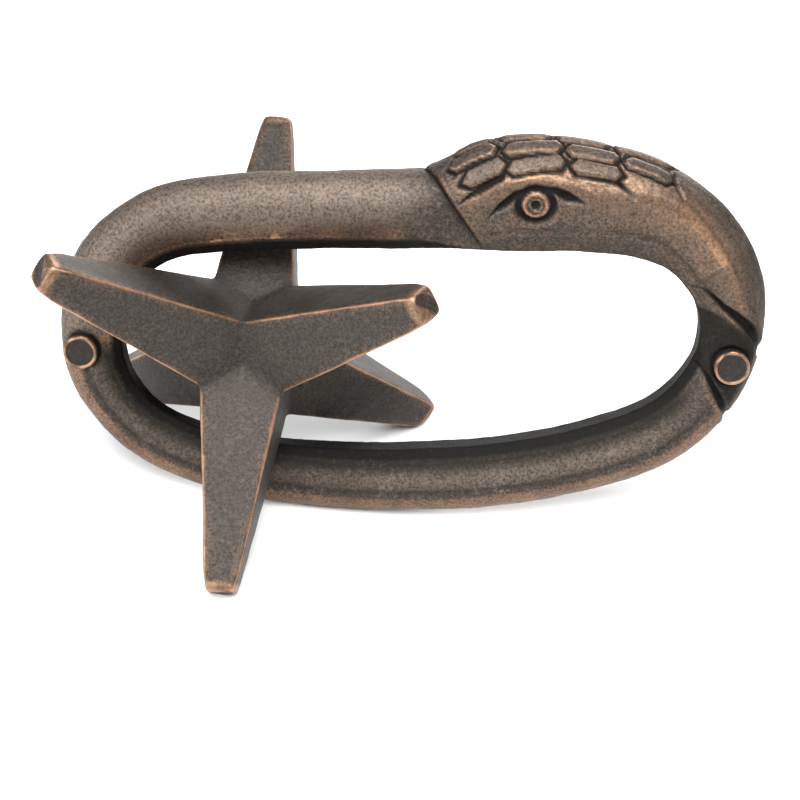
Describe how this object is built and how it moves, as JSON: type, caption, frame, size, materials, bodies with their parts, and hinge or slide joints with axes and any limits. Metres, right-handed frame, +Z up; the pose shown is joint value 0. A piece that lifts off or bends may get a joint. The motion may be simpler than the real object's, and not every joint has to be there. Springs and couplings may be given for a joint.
{
  "type": "disentanglement puzzle",
  "caption": "Cast oval ring shaped as a snake biting its tail, with a tapered square-legged jack threaded on it, to be worked free by hand.",
  "frame": {"origin": "middle of the footprint, on the table the puzzle stands on", "axes": "+X along the ring's long side towards the snake's head, +Z up, the ring's face with the eye towards -Y"},
  "size_m": [0.0738, 0.0448, 0.0405],
  "materials": {
    "ring_casting": "antique copper plating, dark patina worn to copper on the high spots",
    "jack_casting": "antique copper plating, dark patina worn to copper on the edges",
    "pins": "antique copper plating, rims worn to copper"
  },
  "bodies": {
    "jack": {"jack_six_legged": "jack_casting"},
    "ring": {"snake_ring": "ring_casting", "cross_pin_left": "pins", "cross_pin_right": "pins"}
  },
  "joints": [
    {"name": "ring_along_jack", "type": "slide", "parent": "jack", "child": "ring", "axis": [1, 0, 0], "range_m": [-0.0145, 0.0009]}
  ]
}
